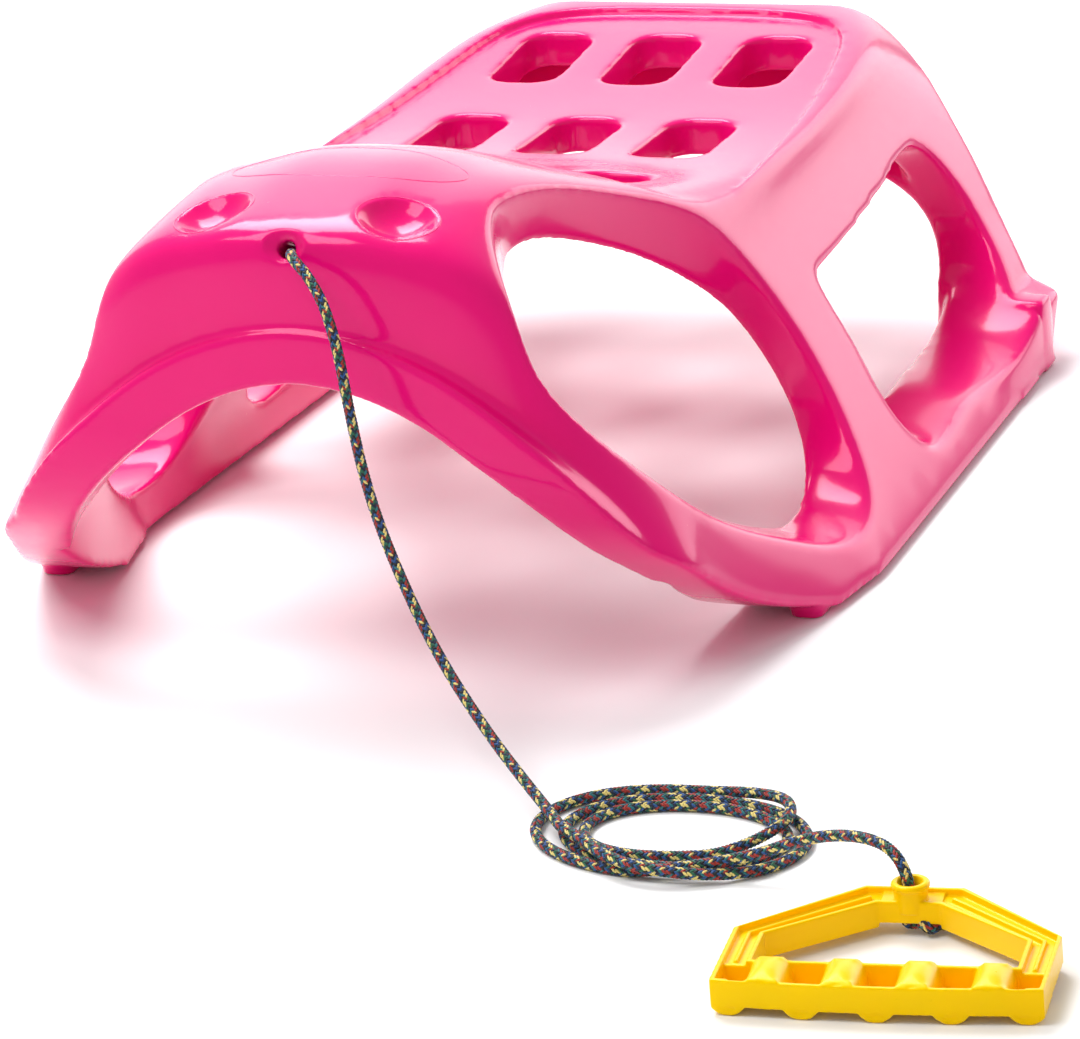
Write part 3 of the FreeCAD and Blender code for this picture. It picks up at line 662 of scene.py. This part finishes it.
def route_curve(name: str, route: list[Point], radius: float) -> bpy.types.Object:
    """Lays a smooth curve along a route.

    Args:
        name: The curve's name.
        route: The control points.
        radius: The radius of the curve's own tube, or nought for a bare line.

    Returns:
        The curve.
    """
    data = bpy.data.curves.new(name, "CURVE")
    data.dimensions = "3D"
    spline = data.splines.new("NURBS")
    spline.points.add(len(route) - 1)
    for point, place in zip(spline.points, route):
        point.co = (*place, 1.0)
    spline.order_u = 3
    spline.use_endpoint_u = True
    spline.resolution_u = 8
    data.bevel_depth = radius
    data.bevel_resolution = 3
    data.use_fill_caps = True
    return linked(name, data)


def path_of(curve: bpy.types.Object) -> tuple[np.ndarray, np.ndarray]:
    """Reads the points of a curve's smooth line.

    Args:
        curve: The curve.

    Returns:
        The points along its line, and a normal at each that turns as little as it can.
    """
    bare = curve.copy()
    bare.data = curve.data.copy()
    bare.data.bevel_depth = 0.0
    bpy.context.scene.collection.objects.link(bare)
    graph = bpy.context.evaluated_depsgraph_get()
    line = bpy.data.meshes.new_from_object(bare.evaluated_get(graph))
    points = np.array([v.co[:] for v in line.vertices])
    bpy.data.objects.remove(bare)
    ahead = unit(np.gradient(points, axis=0))
    normal = Vector(ahead[0]).orthogonal().normalized()
    normals = []
    for way in ahead:
        tangent = Vector(way)
        normal = (normal - tangent * normal.dot(tangent)).normalized()
        normals.append(normal[:])
    return points, np.array(normals)


@dataclass
class PullRope:
    """The braided rope: knotted inside the nose, coiled loosely on the ground, knotted under the handle.

    The points of its route and the sizes of the coil are in millimetres.
    """

    diameter: float = 5.0 * MM
    core_radius: float = 1.75 * MM
    lead: tuple[Point, ...] = (
        (0.0, -260.8, 197.0), (0.0, -283.6, 210.5), (22.0, -299.0, 198.0), (33.0, -308.5, 176.0),
        (37.5, -312.5, 148.0), (44.0, -317.5, 116.0), (57.0, -328.0, 87.0), (83.0, -349.0, 51.0),
        (114.0, -374.5, 26.5), (138.0, -395.0, 13.5))
    tail: tuple[Point, ...] = (
        (256.5, -448.5, 10.5), (274.0, -446.5, 17.5), (292.0, -453.0, 25.0), (312.0, -466.5, 31.5),
        (327.0, -477.0, 31.5), (335.0, -484.0, 21.5), (335.0, -484.0, 9.9))
    coil_middle: tuple[float, float] = (212.0, -415.0)
    coil_length: float = 118.0
    coil_flatness: float = 0.745
    # The middle of the lowest turn and each layer above it, in diameters.
    ground_lift: float = 0.52
    layer: float = 1.12
    # Each eighth of a turn: its reach as a share of half the coil's length, and its layer.
    turns: tuple[tuple[float, float], ...] = (
        (0.911, 1.00), (0.753, 1.05), (1.026, 0.88), (1.017, 0.00), (0.971, 0.00), (0.896, 0.00),
        (0.833, 0.00), (0.861, 0.00), (0.824, 0.00), (0.764, 0.00), (0.737, 0.00), (0.788, 0.00),
        (0.831, 0.00), (0.739, 0.00), (0.676, 0.00), (0.697, 0.00), (0.674, 0.00), (0.623, 0.00),
        (0.513, 0.00), (0.539, 0.00), (0.726, 0.91), (0.949, 1.08), (1.018, 0.00), (1.092, 0.00),
        (1.043, 0.00), (0.930, 0.00), (0.885, 0.00))
    eighths: int = 8
    wrap_steps: int = 16
    nose_wrap: float = 4.3 * MM
    nose_wrap_pitch: float = 4.9 * MM
    nose_wraps: float = 2.1
    # The flat knot: its shift from the middle of its place, its spans and the share of them that it fills.
    knot_shift: Point = (4.0 * MM, 1.5 * MM, -0.6 * MM)
    knot_span: Size = (11.0 * MM, 3.0 * MM, 1.5 * MM)
    knot_share: float = 0.72
    knot_steps: int = 24
    knot_start: float = 0.08
    knot_sweep: float = 1.9
    knot_lean: float = 0.35
    knot_loops: float = 0.8
    braid: Braid = Braid(colours=(
        Yarn.CREAM, Yarn.CREAM, Yarn.NAVY, Yarn.BLUE, Yarn.BLACK,
        Yarn.RED, Yarn.RED, Yarn.TEAL, Yarn.NAVY, Yarn.GREEN,
        Yarn.NAVY, Yarn.BLUE, Yarn.BLACK, Yarn.TEAL, Yarn.RED,
        Yarn.NAVY, Yarn.GREEN, Yarn.BLACK, Yarn.BLUE, Yarn.CREAM))

    def between(self, values: list[float], i: int) -> float:
        """Finds the value half way between two neighbours on a smooth curve through all of them.

        Args:
            values: The values on the curve.
            i: The place of the first neighbour.

        Returns:
            The value between them.
        """
        before, after = values[max(i - 1, 0)], values[min(i + 2, len(values) - 1)]
        return (9 * (values[i] + values[i + 1]) - before - after) / 16

    def coil(self) -> list[Point]:
        """Works out the turns of the coil, sixteen points to a turn.

        Returns:
            The points in millimetres.
        """
        reaches, layers = [t[0] for t in self.turns], [t[1] for t in self.turns]
        half_step = math.pi / self.eighths
        widen = self.coil_length / 2 / math.cos(half_step / 2)
        points = []
        for i in range(2 * len(self.turns) - 1):
            k, odd = divmod(i, 2)
            reach = self.between(reaches, k) if odd else reaches[k]
            layer = max(0.0, self.between(layers, k)) if odd else layers[k]
            angle = math.pi + i * half_step
            points.append((self.coil_middle[0] + widen * reach * math.cos(angle),
                           self.coil_middle[1] + widen * reach * self.coil_flatness * math.sin(angle),
                           self.diameter / MM * (self.ground_lift + layer * self.layer)))
        return points

    def build(self) -> None:
        """Builds the rope's core, its braid and its knots."""
        route = [tuple(v * MM for v in p) for p in (*self.lead, *self.coil(), *self.tail)]
        core = route_curve("rope_core", route, self.core_radius)
        yarn = BraidedYarn().material()
        core.data.materials.append(PressedFiller().material())
        points, normals = path_of(core)
        gone = distances(points)
        length = float(gone[-1])
        joins = [float(gone[np.argmin(np.linalg.norm(points - np.array(route[i]), axis=1))])
                 for i in (len(self.lead) - 1, -len(self.tail))]
        stretches = (("rope_lead_braid", 0.0, joins[0]), ("rope_coil_braid", joins[0], joins[1]),
                     ("rope_tail_braid", joins[1], length))
        pieces = [self.braid.strands(name, points, normals, start, end, yarn)
                  for name, start, end in stretches]
        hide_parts("rope_lead", "rope_coil", "rope_tail")
        for piece, node in zip(pieces, ("rope_lead", "rope_coil", "rope_tail")):
            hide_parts(node)
        knots = [self.nose_knot(yarn), self.handle_knot(yarn)]
        for piece in (core, *pieces, knots[0]):
            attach(piece, "sled")
        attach(knots[1], "handle")
        LOG.info("rope: %.3f m on %d points", length, len(route))

    def knotted(self, name: str, node: str, route: list[Point],
                material: bpy.types.Material) -> bpy.types.Object:
        """Ties a knot of the same braid along a route.

        Args:
            name: The knot's name.
            node: The CAD node that it stands for.
            route: The knot's control points.
            material: The yarn's material.

        Returns:
            The knot.
        """
        line = route_curve(name + "_line", route, 0.0)
        points, normals = path_of(line)
        bpy.data.objects.remove(line)
        length = float(np.linalg.norm(np.diff(points, axis=0), axis=1).sum())
        knot = self.braid.strands(name, points, normals, 0.0, length, material)
        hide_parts(node)
        LOG.info("%s: %.0f mm of rope", name, length / MM)
        return knot

    def wound(self, axis: Matrix, radius: float, pitch: float, turns: float) -> list[Point]:
        """Winds turns side by side around the X axis of a placement.

        Args:
            axis: The placement.
            radius: The radius of the rope's middle.
            pitch: The distance from one turn to the next.
            turns: How many turns.

        Returns:
            The points of the turns.
        """
        helix = []
        for i in range(int(self.wrap_steps * turns) + 1):
            angle = 2 * math.pi * i / self.wrap_steps
            helix.append((pitch * i / self.wrap_steps + self.diameter / 2, radius * math.cos(angle),
                          radius * math.sin(angle)))
        return [tuple(axis @ Vector(p)) for p in helix]

    def nose_knot(self, material: bpy.types.Material) -> bpy.types.Object:
        """Ties the stopper knot inside the nose.

        Args:
            material: The yarn's material.

        Returns:
            The knot.
        """
        start, ahead = Vector(self.lead[0]) * MM, Vector(self.lead[0]) - Vector(self.lead[1])
        placement = Matrix.Translation(start) @ ahead.to_track_quat("X", "Z").to_matrix().to_4x4()
        route = self.wound(placement, self.nose_wrap, self.nose_wrap_pitch, self.nose_wraps)
        return self.knotted("rope_nose_knot", "nose_knot", route, material)

    def handle_knot(self, material: bpy.types.Material) -> bpy.types.Object:
        """Ties the flat overhand knot under the neck of the handle, with its short end beside it.

        Args:
            material: The yarn's material.

        Returns:
            The knot.
        """
        low, high = (Vector(corner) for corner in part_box("handle_knot"))
        middle = (low + high) / 2 + Vector(self.knot_shift)
        turned = Matrix.Rotation(math.radians(HANDLE_YAW), 3, "Z")
        route = []
        for i in range(self.knot_steps + 1):
            t = math.pi * (self.knot_start + self.knot_sweep * i / self.knot_steps)
            loop = (math.sin(t) + self.knot_lean * math.sin(2 * t),
                    math.cos(t) - self.knot_loops * math.cos(2 * t), -math.sin(3 * t))
            place = Vector(a * b * self.knot_share for a, b in zip(loop, self.knot_span))
            route.append(tuple(middle + turned @ place))
        return self.knotted("rope_handle_knot", "handle_knot", route, material)


@dataclass(frozen=True)
class SharpSpot:
    """A round place on the hood whose edge stays sharper: its middle, reach, blend and hardness."""

    middle: tuple[float, float]
    reach: float
    blend: float
    hardness: float

    def shares(self, across: np.ndarray, along: np.ndarray) -> np.ndarray:
        """Says how hard each point is.

        Args:
            across: How far each point stands from the sled's middle plane.
            along: Each point's place along the sled.

        Returns:
            A share for each.
        """
        away = np.hypot(across - self.middle[0], along - self.middle[1])
        return self.hardness * below(away, self.reach, self.blend)


@dataclass
class SledBody:
    """The blow-moulded body: one hollow skin with rounded edges, dimples, a slotted seat and a bare plate."""

    # Blown into a polished mould: deep pink where it faces the viewer, pale where it is seen at a low angle.
    finish: MouldedPlastic = MouldedPlastic(
        name="blow_moulded_polyethylene", colour="#E70974", deep_colour="#DC076C", roughness=0.22,
        ripple_mm=60.0, ripple_depth_mm=0.08, scuff_mm=5.0, glow=0.05, coat=0.45)
    work: SkinWork = SkinWork(grain=1.3 * MM, rounds=60, most=190000)

    # Raised lines on the hood: around the bare plate and around the dimples.
    plate_middle: tuple[float, float] = (0.0, -0.201)
    plate_half: tuple[float, float] = (0.057, 0.023)
    plate_line: float = 0.55 * MM
    rim_middle: tuple[float, float] = (0.0442, -0.2539)
    rim_half: tuple[float, float] = (0.0187, 0.0171)
    rim_line: float = 0.6 * MM
    line_points: int = 120
    line_sunk_share: float = 0.6
    ray_height: float = 0.4

    # Where edges stay sharper than the mould's general rounding.
    blend: float = 0.02
    seat_low: float = 0.11
    seat_front: float = -0.03
    seat_side: float = 0.15
    seat_hardness: float = 0.7
    hood_low: float = 0.16
    dimples: SharpSpot = SharpSpot((0.044, -0.255), reach=0.03, blend=0.006, hardness=0.95)
    dish: SharpSpot = SharpSpot((0.0, -0.279), reach=0.02, blend=0.004, hardness=0.94)
    band_side: float = 0.2
    band_back: float = -0.245
    band_top: float = 0.19
    band_hardness: float = 0.6
    sole_top: float = 0.004
    sole_hardness: float = 0.8

    # The side wall's outer plane leans in with height, and runs out to the heel's outer edge at the tail.
    swell: float = 0.5 * MM
    wall_foot: float = 0.214
    wall_lean: float = 0.63
    wall_skin: float = 0.006
    wall_blend: float = 0.005
    tail_flare: float = 2.0 * MM
    tail_start: float = 0.12
    tail_run: float = 0.07
    flare_top: float = 0.07
    flare_blend: float = 0.03
    heel_edge: float = 0.2095
    heel_start: float = 0.09
    heel_run: float = 0.096
    heel_top: float = 0.0375
    heel_blend: float = 0.003

    def softness(self, places: np.ndarray) -> np.ndarray:
        """Says how much each point of the skin is rounded.

        Args:
            places: The points.

        Returns:
            A share for each: little at the dimples and the rope hole, and least under the feet.
        """
        x, y, z = np.abs(places[:, 0]), places[:, 1], places[:, 2]
        seat = (above(z, self.seat_low, self.blend) * above(y, self.seat_front, self.blend)
                * below(x, self.seat_side, self.blend))
        hood = above(z, self.hood_low, self.blend)
        band = (below(x, self.band_side, self.blend) * below(y, self.band_back, self.blend)
                * below(z, self.band_top, self.blend))
        hard = np.maximum.reduce([self.seat_hardness * seat, self.dimples.shares(x, y) * hood,
                                  self.dish.shares(x, y) * hood, self.band_hardness * band,
                                  self.sole_hardness * (z < self.sole_top)])
        return np.round(1.0 - hard, 2)

    def swollen(self, build: bmesh.types.BMesh) -> None:
        """Gives the thin edges of the openings some thickness, as a blown skin has.

        Args:
            build: The copy of the body.
        """
        build.normal_update()
        for vert in build.verts:
            vert.co += vert.normal * self.swell
            vert.co.z = max(vert.co.z, 0.0)

    def flared(self, places: np.ndarray) -> np.ndarray:
        """Lets each side wall run out smoothly into the heel at its end.

        Args:
            places: The points of the skin.

        Returns:
            The points in their new places.
        """
        x, y, z = np.abs(places[:, 0]), places[:, 1], places[:, 2]
        wall = self.wall_foot - self.wall_lean * z
        outer = eased(above(x - wall, -self.wall_skin, self.wall_blend))
        room = np.clip(self.heel_edge - np.maximum(wall, x), 0.0, None)
        gentle = (self.tail_flare * eased(above(y, self.tail_start, self.tail_run))
                  * eased(below(z, self.flare_top, self.flare_blend)))
        steep = (room * eased(above(y, self.heel_start, self.heel_run))
                 * eased(below(z, self.heel_top, self.heel_blend)))
        moved = places.copy()
        moved[:, 0] += np.sign(places[:, 0]) * outer * np.maximum(steep, np.minimum(gentle, room))
        return moved

    def build(self) -> None:
        """Builds the body and the fine lines on its hood."""
        finish = self.finish.material()
        skin = moulded_copy("sled_body", "sled_skin", self.work, self.softness, self.swollen, self.flared)
        skin.data.materials.clear()
        skin.data.materials.append(finish)
        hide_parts("sled_body")
        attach(skin, "sled")
        LOG.info("body: %d faces", len(skin.data.polygons))
        surface = surface_of(skin)
        rings = [self.ring("hood_plate_line", surface, self.plate_middle, self.plate_half, self.plate_line)]
        for name, side in (("left", -1), ("right", 1)):
            middle = (side * self.rim_middle[0], self.rim_middle[1])
            rings.append(self.ring(f"{name}_dimple_rim", surface, middle, self.rim_half, self.rim_line))
        for ring in rings:
            ring.data.materials.append(finish)
            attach(ring, "sled")
            LOG.info("%s: %d faces", ring.name, len(ring.data.polygons))

    def ring(self, name: str, surface: BVHTree, middle: tuple[float, float], half: tuple[float, float],
             radius: float) -> bpy.types.Object:
        """Lays a fine raised line on the hood.

        Args:
            name: The line's name.
            surface: The body's surface.
            middle: The middle of its oval, seen from above.
            half: Half the oval's width and depth.
            radius: The radius of the line.

        Returns:
            The line as a closed thin tube.
        """
        data = bpy.data.curves.new(name, "CURVE")
        data.dimensions = "3D"
        line = data.splines.new("POLY")
        line.points.add(self.line_points - 1)
        for i, point in enumerate(line.points):
            t = 2 * math.pi * i / self.line_points
            x, y = middle[0] + half[0] * math.cos(t), middle[1] + half[1] * math.sin(t)
            place, normal, _, _ = surface.ray_cast(Vector((x, y, self.ray_height)), Vector((0, 0, -1)))
            point.co = (*(place - normal * radius * self.line_sunk_share), 1.0)
        line.use_cyclic_u = True
        data.bevel_depth = radius
        data.bevel_resolution = 1
        ring = baked(linked(name, data))
        smooth_shaded(ring)
        return ring


@dataclass
class PullHandle:
    """The injection-moulded pull handle, with small radii on all its walls and ribs.

    Its places are in its own frame, with the bore at the origin and the grip towards -Y.
    """

    # Injected into a fine-ground mould: a clear yellow with a soft, even gloss.
    finish: MouldedPlastic = MouldedPlastic(
        name="injection_moulded_polypropylene", colour="#FFD400", deep_colour="#FAC400", roughness=0.32,
        ripple_mm=14.0, ripple_depth_mm=0.03, scuff_mm=3.0, glow=0.06, coat=0.1)
    work: SkinWork = SkinWork(grain=0.55 * MM, rounds=140, most=120000)
    end_wall_place: Point = (0.058, -0.0625, 0.0084)
    end_wall_size: Size = (0.0124, 0.002, 0.0092)
    bumps: int = 5
    bump_pitch: float = 0.0292
    bump_fill: Size = (0.0094, 0.0018, 0.003)
    bump_fill_back: float = 0.0011
    bump_fill_height: float = 0.003
    grip_front: float = -0.081
    grip_bow: float = 0.003
    grip_half: float = 0.065
    hump_front: float = -0.0808
    hump_back: float = -0.064
    hump_low: float = 0.008
    hump_side: float = 0.058
    hump_softness: float = 1.0
    wall_softness: float = 0.03

    def placement(self) -> Matrix:
        """Places the handle's own frame.

        Returns:
            The frame, with the bore at its origin.
        """
        return Matrix.Translation((*HANDLE_BORE, 0.0)) @ Matrix.Rotation(math.radians(HANDLE_YAW), 4, "Z")

    def closed_pockets(self, build: bmesh.types.BMesh) -> None:
        """Closes the end pockets of the grip towards the arms and its bumps towards the front.

        Args:
            build: The copy of the handle.
        """
        x, y, z = self.end_wall_place
        blocks = [((side * x, y, z), self.end_wall_size) for side in (-1, 1)]
        for i in range(self.bumps):
            across = (i - self.bumps // 2) * self.bump_pitch
            front = self.grip_front - self.grip_bow * (1 - (across / self.grip_half) ** 2)
            blocks.append(((across, front + self.bump_fill_back, self.bump_fill_height), self.bump_fill))
        for place, size in blocks:
            bmesh.ops.create_cube(build, size=1.0, matrix=self.placement() @ Matrix.Translation(place)
                                  @ Matrix.Diagonal((*size, 1.0)))

    def softness(self, places: np.ndarray) -> np.ndarray:
        """Says how much each point is rounded: the humps of the grip far more than the walls.

        Args:
            places: The points.

        Returns:
            A share for each.
        """
        back = np.array(self.placement().inverted())
        x, y, z = (places @ back[:3, :3].T + back[:3, 3]).T
        grip = (y > self.hump_front) & (y < self.hump_back) & (np.abs(x) < self.hump_side)
        return np.where(grip & (z > self.hump_low), self.hump_softness, self.wall_softness)

    def build(self) -> None:
        """Builds the handle."""
        handle = moulded_copy("pull_handle", "handle_moulding", self.work, self.softness, self.closed_pockets)
        handle.data.materials.clear()
        handle.data.materials.append(self.finish.material())
        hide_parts("pull_handle")
        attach(handle, "handle")
        LOG.info("handle: %d faces", len(handle.data.polygons))


def main() -> None:
    """Builds the studio, then every sub-assembly."""
    logging.basicConfig(level=logging.INFO, format="%(name)s: %(message)s")
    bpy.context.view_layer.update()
    StudioView().build()
    PullRope().build()
    SledBody().build()
    PullHandle().build()


if __name__ == "__main__":
    main()
